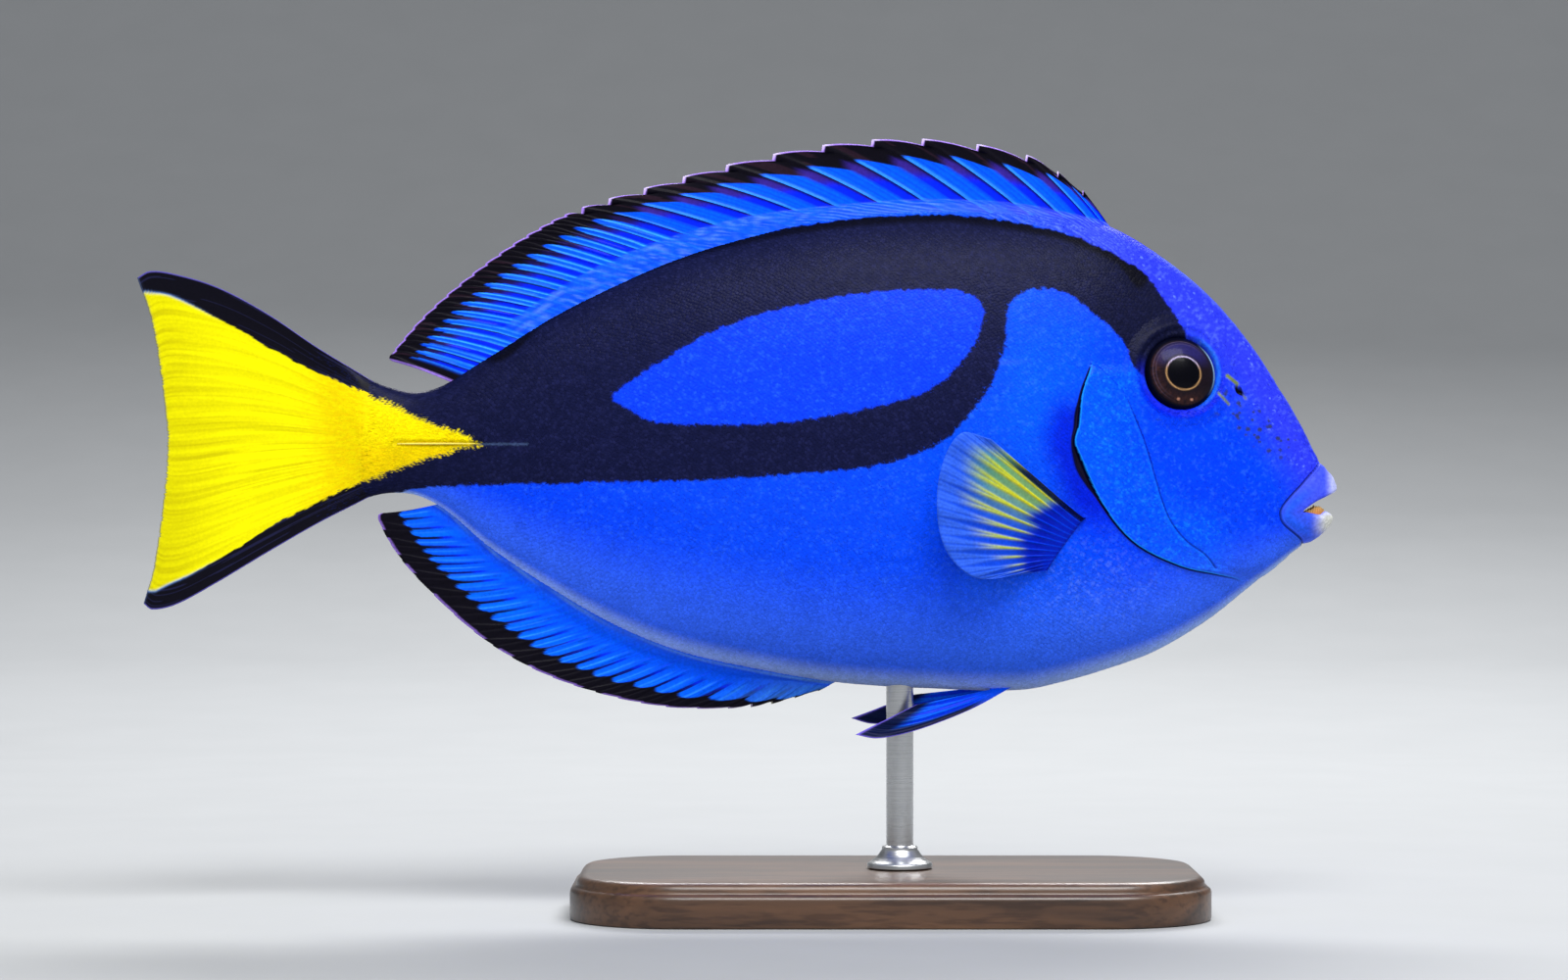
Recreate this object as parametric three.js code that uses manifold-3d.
// Regal blue tang at life size, swimming with its fins spread, on a small display stand.
// Millimetres. The snout points along +X, the right flank faces -Y, up is +Z and the floor is Z = 0.
import * as THREE from "three";
import { mergeVertices } from "three/addons/utils/BufferGeometryUtils.js";
import Module from "manifold-3d";

const wasm = await Module();
wasm.setup();

// Overall sizes
const GAP = 0.3; // between pieces that touch
const SNOUT_TIP = 110.07;
const TAIL_FIN_START = -68.6;
const STALK_START = -45.5;
const LOFT_END = -72.4; // the body's surface is drawn a little past the stalk, then cut
const RINGS = 40;
const FACETS = 32;
const FAR = 200; // larger than the fish, for cutting blocks
const RIGHT = -1;
const LEFT = 1;

// Body sections from tail to snout:
// x, height of the back, height of the belly, half width, height where it is widest, keel of the back
const SECTIONS = [
  [-72.4, 100.8, 73.9, 2.5, 86.2, 1.0],
  [-67.8, 98.2, 76.0, 2.9, 86.2, 1.0],
  [-63.3, 96.4, 76.9, 3.3, 86.2, 1.0],
  [-58.5, 95.6, 76.4, 3.9, 86.2, 1.02],
  [-53.2, 97.2, 73.6, 4.6, 86.1, 1.05],
  [-44.9, 102.6, 66.5, 5.8, 86.0, 1.1],
  [-33.8, 109.6, 59.1, 7.8, 85.6, 1.15],
  [-22.8, 115.2, 52.8, 9.8, 85.0, 1.2],
  [-11.8, 120.0, 48.2, 11.7, 84.2, 1.22],
  [-0.8, 123.6, 45.4, 13.4, 83.2, 1.25],
  [17.4, 127.8, 42.3, 15.5, 81.3, 1.25],
  [34.8, 129.2, 41.1, 16.4, 80.5, 1.25],
  [52.3, 128.7, 40.8, 16.1, 80.9, 1.22],
  [61.1, 127.8, 42.6, 15.1, 81.6, 1.18],
  [68.5, 126.0, 44.8, 13.9, 82.0, 1.14],
  [77.1, 121.1, 48.0, 12.2, 82.0, 1.1],
  [86.5, 113.6, 53.6, 10.2, 81.0, 1.06],
  [94.2, 104.7, 59.7, 8.2, 79.0, 1.02],
  [100.0, 95.8, 64.4, 6.5, 77.6, 1.0],
  [104.0, 89.0, 67.4, 5.1, 76.8, 1.0],
  [106.0, 84.9, 68.5, 4.4, 76.8, 1.0],
  [107.3, 82.6, 69.4, 3.8, 76.8, 1.0],
  [108.5, 81.0, 70.6, 3.1, 77.0, 1.0],
  [109.4, 80.0, 72.4, 2.2, 77.3, 1.0],
  [SNOUT_TIP, 78.4, 76.9, 0.5, 77.7, 1.0],
];

// Side view of the gill opening, from the nape round the gill cover's edge to the throat
const GILL_OPENING = [
  [70.5, 140],
  [69.6, 122],
  [66.8, 108],
  [64.1, 99.5],
  [62.5, 95],
  [61.9, 89.4],
  [61.1, 86.5],
  [62.0, 83.8],
  [66.2, 75.0],
  [72.2, 68.0],
  [80.7, 63.8],
  [87.7, 62.2],
  [92.5, 60.8],
  [95.6, 57],
  [96.5, 40],
];
const GILL_COVER_TOP = 99.4; // where the gill cover begins, along that line
const GILL_COVER_BOTTOM = 62.3;

// Side view of the crease along the cheek bone, the gill cover's front edge
const CHEEK_CREASE = [
  [65.6, 99.5],
  [70.1, 95.0],
  [73.0, 88.8],
  [74.5, 84.7],
  [77.2, 75.6],
  [79.0, 71.5],
  [81.8, 68.2],
  [85.1, 65.9],
  [87.2, 63.4],
];
const COVER_PROUD = 0.5;
const COVER_DEPTH = 1.2;

// Side view of the crease behind the lips, from the brow of the mouth round to the chin
const LIP_CREASE = [
  [108.5, 84.5],
  [106.5, 82.0],
  [104.8, 80.2],
  [102.9, 78.1],
  [101.2, 76.4],
  [99.5, 74.2],
  [99.3, 72.7],
  [100.0, 71.2],
  [102.1, 69.5],
  [103.6, 68.2],
  [104.4, 66.0],
];
const LIP_PROUD = 0.3;
const MOUTH_CORNER = [103.5, 73.5];
const UPPER_LIP_EDGE = [[105.9, 75.2], [107.7, 76.05], [109.5, 76.85], [112, 77.6]];
const LOWER_LIP_EDGE = [[105.7, 73.1], [107.1, 72.9], [108.0, 73.7], [108.8, 73.4], [112, 72]];
const TEETH_PER_JAW = 6;

// Eyes and nostrils, by their place in side view
const EYE_PLACE = [80.8, 98.8];
const EYE = { radius: 6.8, depth: 3.2, proud: 2.0 };
const ORBIT = { radius: 8.9, depth: 2.0, proud: 1.0 };
const NOSTRIL_PLACE = [91.5, 95.7];
const NOSTRIL_SIZE = [1.0, 0.9, 0.65];

// Fin thicknesses, each as half of the whole
const MEMBRANE = 0.25;
const RIDGE = 0.26; // how far a ray stands out of the membrane
const RIDGE_REACH = 0.15; // half the width of a ray, as a share of the distance between rays
const EMBED = 3; // how far a fin is drawn into the body before it is trimmed to the skin

// Rays of the unpaired fins: number of the ray, foot x and z, tip x and z
const DORSAL_RAYS = [
  [0, 68.1, 126.5, 63.6, 132.6],
  [2, 64.5, 127.5, 53.2, 139.1],
  [4, 51.0, 130.1, 34.1, 142.0],
  [6, 34.1, 130.8, 15.8, 140.9],
  [8, 18.2, 129.7, -1.9, 137.3],
  [10, 3.3, 127.9, -17.0, 133.0],
  [12, -9.8, 124.6, -28.4, 129.4],
  [16, -22.0, 120.0, -38.5, 124.3],
  [20, -32.8, 114.4, -48.5, 117.3],
  [24, -42.6, 108.0, -57.6, 109.4],
  [28, -51.8, 100.2, -64.4, 101.5],
];
const ANAL_RAYS = [
  [0, 17.4, 41.9, 15.0, 40.6],
  [2, 12.7, 42.3, 6.4, 38.2],
  [4, 6.7, 42.7, -1.5, 37.4],
  [6, -1.2, 43.5, -12.9, 37.7],
  [9, -11.1, 46.0, -25.8, 40.4],
  [12, -22.1, 49.6, -37.5, 44.8],
  [15, -32.0, 54.9, -48.2, 51.5],
  [18, -41.9, 62.3, -58.8, 61.5],
  [20, -47.6, 67.5, -63.5, 67.5],
  [22, -55.0, 74.9, -66.4, 73.2],
];
const DORSAL = { table: DORSAL_RAYS, inward: -1, spines: 13, notch: 0.9, wave: 0.7 };
const ANAL = { table: ANAL_RAYS, inward: 1, spines: 5, notch: 0.7, wave: 0.5 };

// Tail fin: the upper and lower margins by share of their length, and the hind edge from top to bottom
const TAIL_UPPER = [
  [0, -68.7, 98.7],
  [0.2, -76.9, 103.7],
  [0.42, -86.1, 109.9],
  [0.64, -95.3, 114.8],
  [0.84, -103.6, 117.3],
  [0.95, -107.9, 117.7],
  [1, -110.07, 116.5],
];
const TAIL_LOWER = [
  [0, -68.7, 75.6],
  [0.2, -76.9, 71.4],
  [0.43, -86.1, 66.1],
  [0.66, -95.3, 60.6],
  [0.85, -102.9, 56.5],
  [0.95, -107.2, 55.6],
  [1, -108.8, 56.7],
];
const TAIL_HIND = [
  [0, -110.07, 116.5],
  [0.12, -107.7, 109.2],
  [0.36, -105.4, 95.0],
  [0.5, -104.65, 86.5],
  [0.67, -105.2, 76.6],
  [0.89, -107.0, 63.3],
  [1, -108.8, 56.7],
];
const TAIL_RAYS = 16;

// Pectoral fin in side view: feet of the rays and the free edge, by share from the first ray to the last
const PECTORAL_FEET = [
  [0, 62.1, 72.5],
  [0.5, 58.6, 67.6],
  [1, 55.4, 63.0],
];
const PECTORAL_EDGE = [
  [0, 45.5, 86.7],
  [0.12, 40.3, 87.7],
  [0.28, 36.9, 82.1],
  [0.48, 36.0, 73.7],
  [0.66, 37.9, 66.3],
  [0.81, 43.0, 61.8],
  [1, 51.0, 62.2],
];
const PECTORAL_RAYS = 14;
const PECTORAL_FLARE = THREE.MathUtils.degToRad(24);

// Pelvic fin in side view: its spine along the lower margin, and the foot and tip of the innermost ray
const PELVIC_SPINE = [
  [0, 50.9, 41.7],
  [0.25, 43.7, 37.9],
  [0.46, 37.4, 35.3],
  [0.68, 31.1, 33.3],
  [0.87, 25.6, 32.4],
  [1, 21.7, 33.1],
];
const PELVIC_INNER = { foot: [46.5, 41.0], tip: [32.8, 38.4] };
const PELVIC_RAYS = 5;
const PELVIC_FLARE = THREE.MathUtils.degToRad(10);
const PELVIC_FOLD = THREE.MathUtils.degToRad(4); // the left fin is folded a little closer to the belly

// The folding spine on each side of the tail stalk
const TAIL_SPINE_SPAN = [-62, -47.5];
const TAIL_SPINE_HEIGHT = 86;
const TAIL_SPINE_HALF = [0.6, 0.9]; // half thickness and half height

// Stand
const BASE = { middle: 28, halfLength: 58, halfWidth: 32, corner: 20, height: 8, bevel: 1.4 };
const ROD = { x: 30, radius: 2.5, foot: 6, footHeight: 4, top: 48 };

// Materials, with the colours of the living fish
const paint = (color, roughness, metalness = 0) =>
  new THREE.MeshStandardMaterial({ color, roughness, metalness });
const MATERIALS = {
  blueSkin: paint(0x1446ff, 0.35),
  bandedSkin: paint(0x15182c, 0.38),
  yellowFin: paint(0xffee00, 0.4),
  finBlue: paint(0x0a55ff, 0.35),
  finPale: paint(0x3f78e0, 0.35),
  lip: paint(0x5a6ef0, 0.4),
  eye: paint(0x1c1210, 0.12),
  bone: paint(0xf3e6a0, 0.45),
  wood: paint(0x3a2418, 0.45),
  steel: paint(0xb9bcc0, 0.3, 1),
};

// Smooth curve through the rows of a table whose first column is the position along it
function smoothTable(rows) {
  const last = rows.length - 1;
  const slopes = rows.map((row, i) => {
    const before = rows[Math.max(i - 1, 0)];
    const after = rows[Math.min(i + 1, last)];
    return row.map((_, column) => (after[column] - before[column]) / (after[0] - before[0]));
  });
  return (position) => {
    const place = THREE.MathUtils.clamp(position, rows[0][0], rows[last][0]);
    let i = 0;
    while (i < last - 1 && place > rows[i + 1][0]) i++;
    const span = rows[i + 1][0] - rows[i][0];
    const t = (place - rows[i][0]) / span;
    const fromStart = 2 * t ** 3 - 3 * t ** 2 + 1;
    const startSlope = (t ** 3 - 2 * t ** 2 + t) * span;
    const endSlope = (t ** 3 - t ** 2) * span;
    return rows[i].map(
      (value, column) =>
        fromStart * value +
        (1 - fromStart) * rows[i + 1][column] +
        startSlope * slopes[i][column] +
        endSlope * slopes[i + 1][column],
    );
  };
}

// Solids from triangles and from three.js shapes
function solidFromTriangles(points, triangles) {
  const vertProperties = new Float32Array(points.flatMap((point) => point.toArray()));
  const make = (faces) =>
    new wasm.Manifold(
      new wasm.Mesh({ numProp: 3, vertProperties, triVerts: new Uint32Array(faces.flat()) }),
    );
  const made = make(triangles);
  return made.volume() > 0 ? made : make(triangles.map(([a, b, c]) => [a, c, b]));
}

function solidFromGeometry(geometry) {
  for (const name of ["normal", "uv"]) geometry.deleteAttribute(name);
  const merged = mergeVertices(geometry, 1e-4);
  const positions = merged.getAttribute("position");
  const points = [];
  for (let i = 0; i < positions.count; i++)
    points.push(new THREE.Vector3().fromBufferAttribute(positions, i));
  const triangles = [];
  for (let i = 0; i < merged.index.count; i += 3) {
    const corners = [0, 1, 2].map((step) => merged.index.getX(i + step));
    if (new Set(corners).size === 3) triangles.push(corners);
  }
  return solidFromTriangles(points, triangles);
}

// A closed skin over rings of equally many points, with a fan over each end
function solidFromRings(rings) {
  const count = rings[0].length;
  const points = rings.flat();
  const triangles = [];
  for (let ring = 0; ring < rings.length - 1; ring++)
    for (let i = 0; i < count; i++) {
      const next = (i + 1) % count;
      const a = ring * count + i;
      const b = ring * count + next;
      triangles.push([a, b, b + count], [a, b + count, a + count]);
    }
  for (const ring of [0, rings.length - 1]) {
    const middle = new THREE.Vector3();
    for (const point of rings[ring]) middle.addScaledVector(point, 1 / count);
    points.push(middle);
    for (let i = 0; i < count; i++) {
      const edge = [ring * count + i, ring * count + ((i + 1) % count)];
      if (ring === 0) edge.reverse();
      triangles.push([...edge, points.length - 1]);
    }
  }
  return solidFromTriangles(points, triangles);
}

// A block with the given side view, between two depths in Y
function block(outline, from = -FAR, to = FAR) {
  const shape = new THREE.Shape(outline.map(([x, z]) => new THREE.Vector2(x, z)));
  const geometry = new THREE.ExtrudeGeometry(shape, { depth: to - from, bevelEnabled: false });
  geometry.rotateX(Math.PI / 2);
  geometry.translate(0, to, 0);
  return solidFromGeometry(geometry);
}

function smoothLine(points, steps) {
  const curve = new THREE.SplineCurve(points.map(([x, z]) => new THREE.Vector2(x, z)));
  return curve.getSpacedPoints(steps).map((point) => [point.x, point.y]);
}

// The same line moved sideways, to the left of its direction for a positive distance
function moveLine(points, distance) {
  return points.map(([x, z], i) => {
    const before = points[Math.max(i - 1, 0)];
    const after = points[Math.min(i + 1, points.length - 1)];
    const along = new THREE.Vector2(after[0] - before[0], after[1] - before[1]).normalize();
    return [x - along.y * distance, z + along.x * distance];
  });
}

// Body surface
const bodyAt = smoothTable(SECTIONS);

function bodyPoint(x, turn) {
  const [, back, belly, half, waist, keel] = bodyAt(x);
  const up = Math.cos(turn);
  const out = Math.sin(turn);
  const reach = up > 0 ? back - waist : waist - belly;
  const power = up > 0 ? keel : 1;
  return new THREE.Vector3(x, half * Math.sign(out) * Math.abs(out) ** power, waist + reach * up);
}

function bodyNormal(x, turn) {
  const step = 0.03;
  const along = bodyPoint(Math.min(x + step, SNOUT_TIP), turn).sub(bodyPoint(x - step, turn));
  const around = bodyPoint(x, turn + step).sub(bodyPoint(x, turn - step));
  return along.cross(around).normalize();
}

// The turn at which the surface has a given height
function turnAt(x, z, side) {
  const [, back, belly, , waist] = bodyAt(x);
  const reach = z > waist ? back - waist : waist - belly;
  return side * Math.acos(THREE.MathUtils.clamp((z - waist) / reach, -1, 1));
}

const flankPoint = (x, z, side) => bodyPoint(x, turnAt(x, z, side));
const flankNormal = (x, z, side) => bodyNormal(x, turnAt(x, z, side));

// The whole body, snout to stalk, thicker or thinner all over by the given amount
function bodySolid(grow = 0) {
  const rings = [];
  for (let ring = 0; ring <= RINGS; ring++) {
    const x = SNOUT_TIP - (SNOUT_TIP - LOFT_END) * (ring / RINGS) ** 1.35;
    const points = [];
    for (let i = 0; i < FACETS; i++) {
      const turn = (i / FACETS) * 2 * Math.PI;
      points.push(bodyPoint(x, turn).addScaledVector(bodyNormal(x, turn), grow));
    }
    rings.push(points);
  }
  return solidFromRings(rings);
}

const body = bodySolid();
const bodyWithGap = bodySolid(GAP);

// Cutting blocks in side view
const gillLine = smoothLine(GILL_OPENING, 40);
const lipCrease = smoothLine(LIP_CREASE, 22);
const cheekLine = smoothLine(CHEEK_CREASE, 16);

// Everything in front of the gill opening, or behind it, half a gap away
function gillSide(front) {
  const line = moveLine(gillLine, front ? GAP / 2 : -GAP / 2);
  const limit = front ? FAR : STALK_START + GAP / 2;
  return block([...line, [limit, line.at(-1)[1]], [limit, line[0][1]]]);
}

// The gill cover's side view, from the cheek crease to a hind edge
function coverOutline(shift, hindEdge) {
  return [...moveLine(cheekLine, shift), ...hindEdge.reverse()];
}

function gillCover(side) {
  const depths = side === RIGHT ? [-FAR, 0] : [0, FAR];
  const hind = moveLine(gillLine, GAP / 2).filter(([, z]) => z < GILL_COVER_TOP && z > GILL_COVER_BOTTOM);
  const shell = bodySolid(COVER_PROUD).subtract(bodySolid(-COVER_DEPTH));
  return shell.intersect(block(coverOutline(-GAP / 2, hind), ...depths));
}

// The shallow seat that a gill cover lies in, open towards the gill slit
function coverSeat(side) {
  const depths = side === RIGHT ? [-FAR, 0] : [0, FAR];
  const behind = [
    [50, GILL_COVER_TOP + GAP],
    [50, GILL_COVER_BOTTOM - 2 * GAP],
    [GILL_OPENING[11][0] + 2 * GAP, GILL_COVER_BOTTOM - 2 * GAP],
  ];
  return block(coverOutline(GAP / 2, behind), ...depths).subtract(bodySolid(-COVER_DEPTH - GAP));
}

// A flattened ball whose short axis leaves the head at the given place
function ballOnFlank(place, side, radii, sunk) {
  const geometry = new THREE.SphereGeometry(1, 20, 12);
  geometry.scale(...radii);
  const normal = flankNormal(...place, side);
  const turn = new THREE.Quaternion().setFromUnitVectors(new THREE.Vector3(0, side, 0), normal);
  geometry.applyQuaternion(turn);
  const middle = flankPoint(...place, side).addScaledVector(normal, -sunk);
  geometry.translate(middle.x, middle.y, middle.z);
  return solidFromGeometry(geometry);
}

function lens({ radius, depth, proud }, side, grow = 0) {
  const radii = [radius + grow, depth + grow, radius + grow];
  return ballOnFlank(EYE_PLACE, side, radii, depth - proud);
}

const eyeball = (side, grow) => lens(EYE, side, grow);
const orbit = (side) => lens(ORBIT, side); // the raised rim of skin round the eye

const nostril = (side) => ballOnFlank(NOSTRIL_PLACE, side, NOSTRIL_SIZE, 0);

// Jaws: the block in front of the lip crease, opened along the mouth
const FRONT = [112, 90];
const CHIN = [112, 60];

function mouthSide(upper) {
  const corner = upper ? MOUTH_CORNER : [MOUTH_CORNER[0], MOUTH_CORNER[1] - GAP];
  const edge = upper ? UPPER_LIP_EDGE : LOWER_LIP_EDGE;
  const hinge = [90, corner[1]];
  return block([hinge, corner, ...edge, ...(upper ? [FRONT, [90, 90]] : [CHIN, [90, 60]])]);
}

// Small flattened teeth round the front of a jaw
function teeth(upper) {
  const row = [];
  for (let i = 0; i < TEETH_PER_JAW; i++) {
    const across = (i - (TEETH_PER_JAW - 1) / 2) * 0.62;
    const geometry = new THREE.CylinderGeometry(0.1, 0.26, 1.3, 6);
    if (upper) geometry.rotateX(Math.PI);
    geometry.rotateX(Math.PI / 2);
    const forward = 107.9 - 0.3 * across ** 2;
    geometry.translate(forward, across, upper ? 76.0 : 73.5);
    row.push(solidFromGeometry(geometry));
  }
  return row;
}

function jaw(upper) {
  const front = block([...lipCrease, CHIN, FRONT]);
  const lips = bodySolid(LIP_PROUD).intersect(front).intersect(mouthSide(upper));
  return teeth(upper).reduce((all, tooth) => all.add(tooth), lips);
}

// Head, trunk and stalk
function head() {
  const behindLips = block([...moveLine(lipCrease, -GAP), CHIN, FRONT]);
  let made = body.intersect(gillSide(true)).subtract(behindLips);
  for (const side of [RIGHT, LEFT]) {
    made = made.add(orbit(side));
    made = made.subtract(eyeball(side, GAP));
    made = made.subtract(nostril(side));
    made = made.subtract(coverSeat(side));
  }
  return made;
}

const trunk = () => body.intersect(gillSide(false));

function tailStalk() {
  const [from, to] = [TAIL_FIN_START + GAP / 2, STALK_START - GAP / 2];
  const span = block([[from, 0], [to, 0], [to, FAR], [from, FAR]]);
  let made = body.intersect(span);
  for (const side of [RIGHT, LEFT]) made = made.subtract(tailSpine(side, GAP));
  return made;
}

// The folded spine lies along the flank with its point forward
function tailSpine(side, grow = 0) {
  const [from, to] = TAIL_SPINE_SPAN;
  const [halfThick, halfHigh] = TAIL_SPINE_HALF;
  const rings = [];
  const steps = 9;
  for (let ring = 0; ring <= steps; ring++) {
    const share = ring / steps;
    const x = THREE.MathUtils.lerp(from - grow, to + grow, share);
    const middle = flankPoint(x, TAIL_SPINE_HEIGHT, side);
    const taper = Math.sin(Math.PI * THREE.MathUtils.lerp(0.12, 0.97, share)) ** 0.6;
    const points = [];
    for (let i = 0; i < 8; i++) {
      const turn = (i / 8) * 2 * Math.PI;
      const out = (halfThick * taper + grow) * Math.cos(turn);
      const up = (halfHigh * taper + grow) * Math.sin(turn);
      points.push(new THREE.Vector3(x, middle.y + out, middle.z + up));
    }
    rings.push(points);
  }
  return solidFromRings(rings);
}

// How far a ray's ridge stands out along it: from nothing at the foot to full, then finer towards the tip
function ridge(row) {
  const rise = THREE.MathUtils.smoothstep(row, 0, 0.1);
  return RIDGE * rise * (1 - 0.5 * row);
}

// A fin: a thin sheet over rays and rows, thickened along one direction, each ray a ridge on both faces
function blade({ rays, rows, middle, half, normal }) {
  const columns = [];
  for (let ray = 0; ray < rays; ray++)
    for (const step of [-1, 0, 1]) {
      const place = ray + step * RIDGE_REACH;
      if (place >= 0 && place <= rays - 1) columns.push({ place, crest: step === 0, behind: step === 1 });
    }
  const points = [];
  for (const side of [1, -1])
    for (const { place, crest, behind } of columns)
      for (const row of rows) {
        const thick = half(place, row) + (crest ? ridge(row) : 0);
        points.push(middle(place, row, behind).addScaledVector(normal, side * thick));
      }
  const at = (face, [column, row]) => (face * columns.length + column) * rows.length + row;
  const triangles = [];
  for (let column = 0; column < columns.length - 1; column++)
    for (let row = 0; row < rows.length - 1; row++) {
      const corners = [[column, row], [column + 1, row], [column + 1, row + 1], [column, row + 1]];
      const [a, b, c, d] = corners.map((corner) => at(0, corner));
      triangles.push([a, b, c], [a, c, d]);
      const [e, f, g, h] = corners.map((corner) => at(1, corner));
      triangles.push([e, g, f], [e, h, g]);
    }
  const rim = [];
  for (let column = 0; column < columns.length - 1; column++) rim.push([column, 0]);
  for (let row = 0; row < rows.length - 1; row++) rim.push([columns.length - 1, row]);
  for (let column = columns.length - 1; column > 0; column--) rim.push([column, rows.length - 1]);
  for (let row = rows.length - 1; row > 0; row--) rim.push([0, row]);
  rim.forEach((corner, i) => {
    const next = rim[(i + 1) % rim.length];
    triangles.push([at(0, next), at(0, corner), at(1, corner)]);
    triangles.push([at(0, next), at(1, corner), at(1, next)]);
  });
  return solidFromTriangles(points, triangles);
}

const trimToSkin = (fin) => fin.subtract(bodyWithGap);

// Fins along the back and belly. Row -1 is inside the body, 0 is the rays' foot above the scaly sheath
// and 1 is the free edge.
const SHEATH = { inside: 2.4, foot: 0.8 };

function medianFin({ table, inward, spines, notch, wave }) {
  const rayAt = smoothTable(table);
  const lastRay = table.at(-1)[0];
  const middle = (ray, row, behind) => {
    const [, footX, footZ, tipX, tipZ] = rayAt(ray);
    const outline = bodyAt(footX)[inward < 0 ? 1 : 2];
    if (row === -1) return new THREE.Vector3(footX, 0, outline + inward * EMBED);
    const bow = 0.025 * (footX - tipX) * Math.sin(Math.PI * row) * -inward;
    const drop = behind && row === 1 ? notch * (ray < spines ? 1 : 0.3) : 0;
    return new THREE.Vector3(
      THREE.MathUtils.lerp(footX, tipX, row),
      wave * row ** 2 * Math.sin(footX / 11),
      THREE.MathUtils.lerp(footZ, tipZ, row) + bow + inward * drop,
    );
  };
  const half = (ray, row) => {
    const end = Math.min(1, 0.4 + 0.3 * Math.min(ray, lastRay - ray));
    if (row === -1) return SHEATH.inside * end;
    if (row === 0) return SHEATH.foot * end;
    return MEMBRANE + 0.1 * (1 - row);
  };
  const rows = [-1, 0, 0.12, 0.55, 1];
  return trimToSkin(blade({ rays: lastRay + 1, rows, middle, half, normal: new THREE.Vector3(0, 1, 0) }));
}

// Tail fin: rays run straight at its middle and follow the margins near them
function tailFin() {
  const upper = smoothTable(TAIL_UPPER);
  const lower = smoothTable(TAIL_LOWER);
  const hind = smoothTable(TAIL_HIND);
  const start = TAIL_FIN_START - GAP / 2;
  const bend = (margin, row, axis) =>
    margin(row)[axis] - THREE.MathUtils.lerp(margin(0)[axis], margin(1)[axis], row);
  const middle = (ray, row) => {
    const share = ray / (TAIL_RAYS - 1);
    const foot = [0, start, THREE.MathUtils.lerp(upper(0)[2], lower(0)[2], share)];
    const tip = hind(share);
    const [x, z] = [1, 2].map(
      (axis) =>
        THREE.MathUtils.lerp(foot[axis], tip[axis], row) +
        (1 - share) ** 1.5 * bend(upper, row, axis) +
        share ** 1.5 * bend(lower, row, axis),
    );
    return new THREE.Vector3(x, 0.6 * row ** 2 * Math.sin(share * 5), z);
  };
  const half = (ray, row) => {
    const share = ray / (TAIL_RAYS - 1);
    const lens = Math.max(2.75 * Math.sqrt(1 - (2 * share - 1) ** 2), 0.6);
    const margin = Math.max(1 - 12 * Math.min(share, 1 - share), 0);
    const thin = MEMBRANE + (0.2 + 0.35 * margin) * (1 - row);
    return THREE.MathUtils.lerp(thin, lens, Math.max(1 - row / 0.22, 0) ** 1.5);
  };
  const rows = [0, 0.08, 0.2, 0.45, 0.75, 0.93, 1];
  return blade({ rays: TAIL_RAYS, rows, middle, half, normal: new THREE.Vector3(0, 1, 0) });
}

// Pectoral fin: a fan that stands off the flank
function pectoralFin(side) {
  const feet = smoothTable(PECTORAL_FEET);
  const edge = smoothTable(PECTORAL_EDGE);
  const middle = (ray, row) => {
    const share = ray / (PECTORAL_RAYS - 1);
    const [, footX, footZ] = feet(share);
    const foot = flankPoint(footX, footZ, side);
    if (row < 0) return foot.add(new THREE.Vector3(1, -side * EMBED, 0));
    const [, tipX, tipZ] = edge(share);
    const along = new THREE.Vector3(tipX - footX, 0, tipZ - footZ).multiplyScalar(row);
    const reach = along.length();
    const out = reach * Math.tan(PECTORAL_FLARE) * (1 - 0.005 * reach);
    return foot.add(along).add(new THREE.Vector3(0, side * out, 0));
  };
  const half = (ray, row) => {
    if (row <= 0) return 1.2;
    return MEMBRANE + 0.8 * Math.max(1 - row / 0.3, 0) ** 2;
  };
  const normal = new THREE.Vector3(Math.sin(PECTORAL_FLARE), side * Math.cos(PECTORAL_FLARE), 0);
  const rows = [-1, 0, 0.07, 0.25, 0.5, 0.78, 1];
  return trimToSkin(blade({ rays: PECTORAL_RAYS, rows, middle, half, normal }));
}

// Pelvic fin: folded back under the belly, stiffened along its lower margin by a spine
function pelvicFin(side) {
  const spine = smoothTable(PELVIC_SPINE);
  const fold = side === LEFT ? -PELVIC_FOLD : 0;
  const [, hingeX, hingeZ] = spine(0);
  const middle = (ray, row) => {
    const share = ray / (PELVIC_RAYS - 1);
    const along = Math.max(row, 0);
    const [, spineX, spineZ] = spine(along);
    const innerX = THREE.MathUtils.lerp(PELVIC_INNER.foot[0], PELVIC_INNER.tip[0], along);
    const innerZ = THREE.MathUtils.lerp(PELVIC_INNER.foot[1], PELVIC_INNER.tip[1], along);
    const flat = new THREE.Vector2(
      THREE.MathUtils.lerp(spineX, innerX, share),
      THREE.MathUtils.lerp(spineZ, innerZ, share),
    ).rotateAround(new THREE.Vector2(hingeX, hingeZ), fold);
    const out = 3.4 - 0.8 * share + (hingeX - flat.x) * Math.tan(PELVIC_FLARE);
    const point = new THREE.Vector3(flat.x, side * out, flat.y);
    return row < 0 ? point.add(new THREE.Vector3(0.5, 0, EMBED)) : point;
  };
  const half = (ray, row) => {
    if (row <= 0) return 0.9;
    return MEMBRANE + (ray === 0 ? 0.3 : 0.1) * (1 - row);
  };
  const normal = new THREE.Vector3(-Math.sin(PELVIC_FLARE) * side, Math.cos(PELVIC_FLARE), 0);
  const rows = [-1, 0, 0.12, 0.35, 0.6, 0.82, 1];
  return trimToSkin(blade({ rays: PELVIC_RAYS, rows, middle, half, normal }));
}

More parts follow.
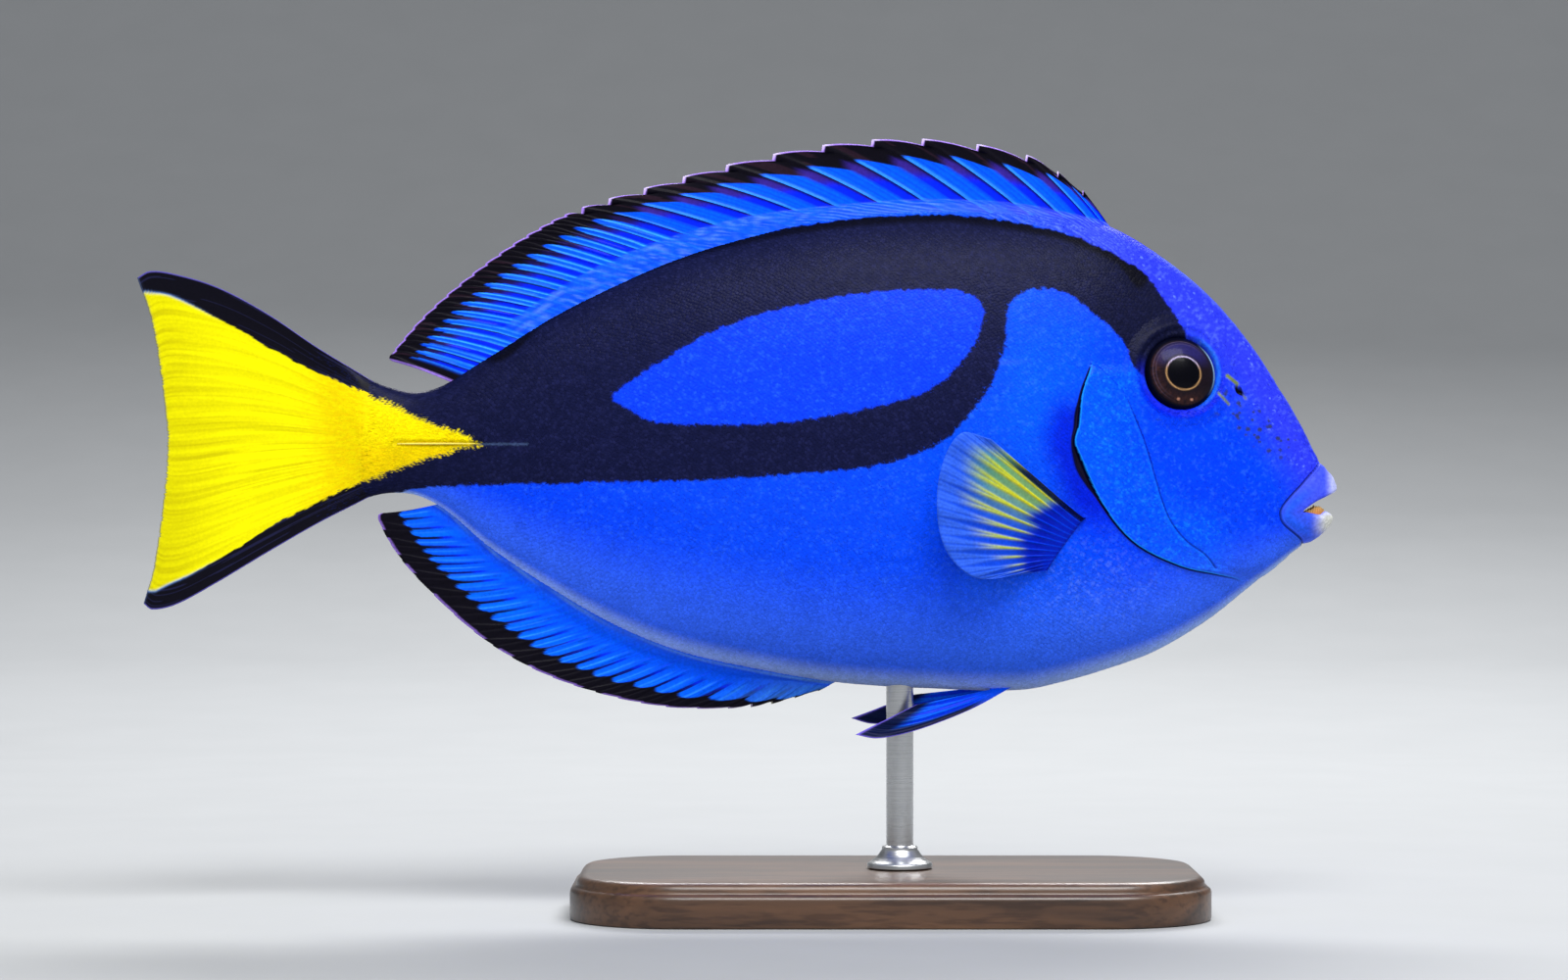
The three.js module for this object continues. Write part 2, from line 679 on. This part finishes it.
// Stand
function standBase() {
  const { middle, halfLength, halfWidth, corner, height, bevel } = BASE;
  const [long, wide] = [halfLength - bevel, halfWidth - bevel];
  const round = corner - bevel;
  const shape = new THREE.Shape();
  shape.absarc(long - round, wide - round, round, 0, Math.PI / 2);
  shape.absarc(round - long, wide - round, round, Math.PI / 2, Math.PI);
  shape.absarc(round - long, round - wide, round, Math.PI, 1.5 * Math.PI);
  shape.absarc(long - round, round - wide, round, 1.5 * Math.PI, 2 * Math.PI);
  const geometry = new THREE.ExtrudeGeometry(shape, {
    depth: height - 2 * bevel,
    bevelSize: bevel,
    bevelThickness: bevel,
    bevelSegments: 1,
    curveSegments: 5,
  });
  geometry.translate(middle, 0, bevel);
  return solidFromGeometry(geometry);
}

function standRod() {
  const floor = BASE.height + GAP;
  const profile = [
    [0, floor],
    [ROD.foot, floor],
    [ROD.foot, floor + 1],
    [ROD.radius + 1.2, floor + ROD.footHeight - 1],
    [ROD.radius, floor + ROD.footHeight],
    [ROD.radius, ROD.top],
    [0, ROD.top],
  ].map(([radius, height]) => new THREE.Vector2(radius, height));
  const geometry = new THREE.LatheGeometry(profile, 16);
  geometry.rotateX(Math.PI / 2);
  geometry.translate(ROD.x, 0, 0);
  return trimToSkin(solidFromGeometry(geometry));
}

// The whole model
const tang = new THREE.Group();

function addPiece(name, solid, material) {
  const bodies = solid.decompose();
  const largest = bodies.reduce((best, one) => (one.volume() > best.volume() ? one : best));
  const mesh = largest.getMesh();
  const geometry = new THREE.BufferGeometry();
  geometry.setAttribute("position", new THREE.BufferAttribute(mesh.vertProperties, mesh.numProp));
  geometry.setIndex(new THREE.BufferAttribute(mesh.triVerts, 1));
  const piece = new THREE.Mesh(geometry, material.clone());
  piece.name = name;
  tang.add(piece);
}

addPiece("head", head(), MATERIALS.blueSkin);
addPiece("trunk", trunk(), MATERIALS.bandedSkin);
addPiece("tail_stalk", tailStalk(), MATERIALS.bandedSkin);
addPiece("upper_jaw", jaw(true), MATERIALS.lip);
addPiece("lower_jaw", jaw(false), MATERIALS.lip);
addPiece("dorsal_fin", medianFin(DORSAL), MATERIALS.finBlue);
addPiece("anal_fin", medianFin(ANAL), MATERIALS.finBlue);
addPiece("tail_fin", tailFin(), MATERIALS.yellowFin);
for (const [side, word] of [[RIGHT, "right"], [LEFT, "left"]]) {
  addPiece(`gill_cover_${word}`, gillCover(side), MATERIALS.blueSkin);
  addPiece(`eye_${word}`, eyeball(side), MATERIALS.eye);
  addPiece(`pectoral_fin_${word}`, pectoralFin(side), MATERIALS.finPale);
  addPiece(`pelvic_fin_${word}`, pelvicFin(side), MATERIALS.finBlue);
  addPiece(`tail_spine_${word}`, tailSpine(side), MATERIALS.bone);
}
addPiece("stand_base", standBase(), MATERIALS.wood);
addPiece("stand_rod", standRod(), MATERIALS.steel);

export default tang;
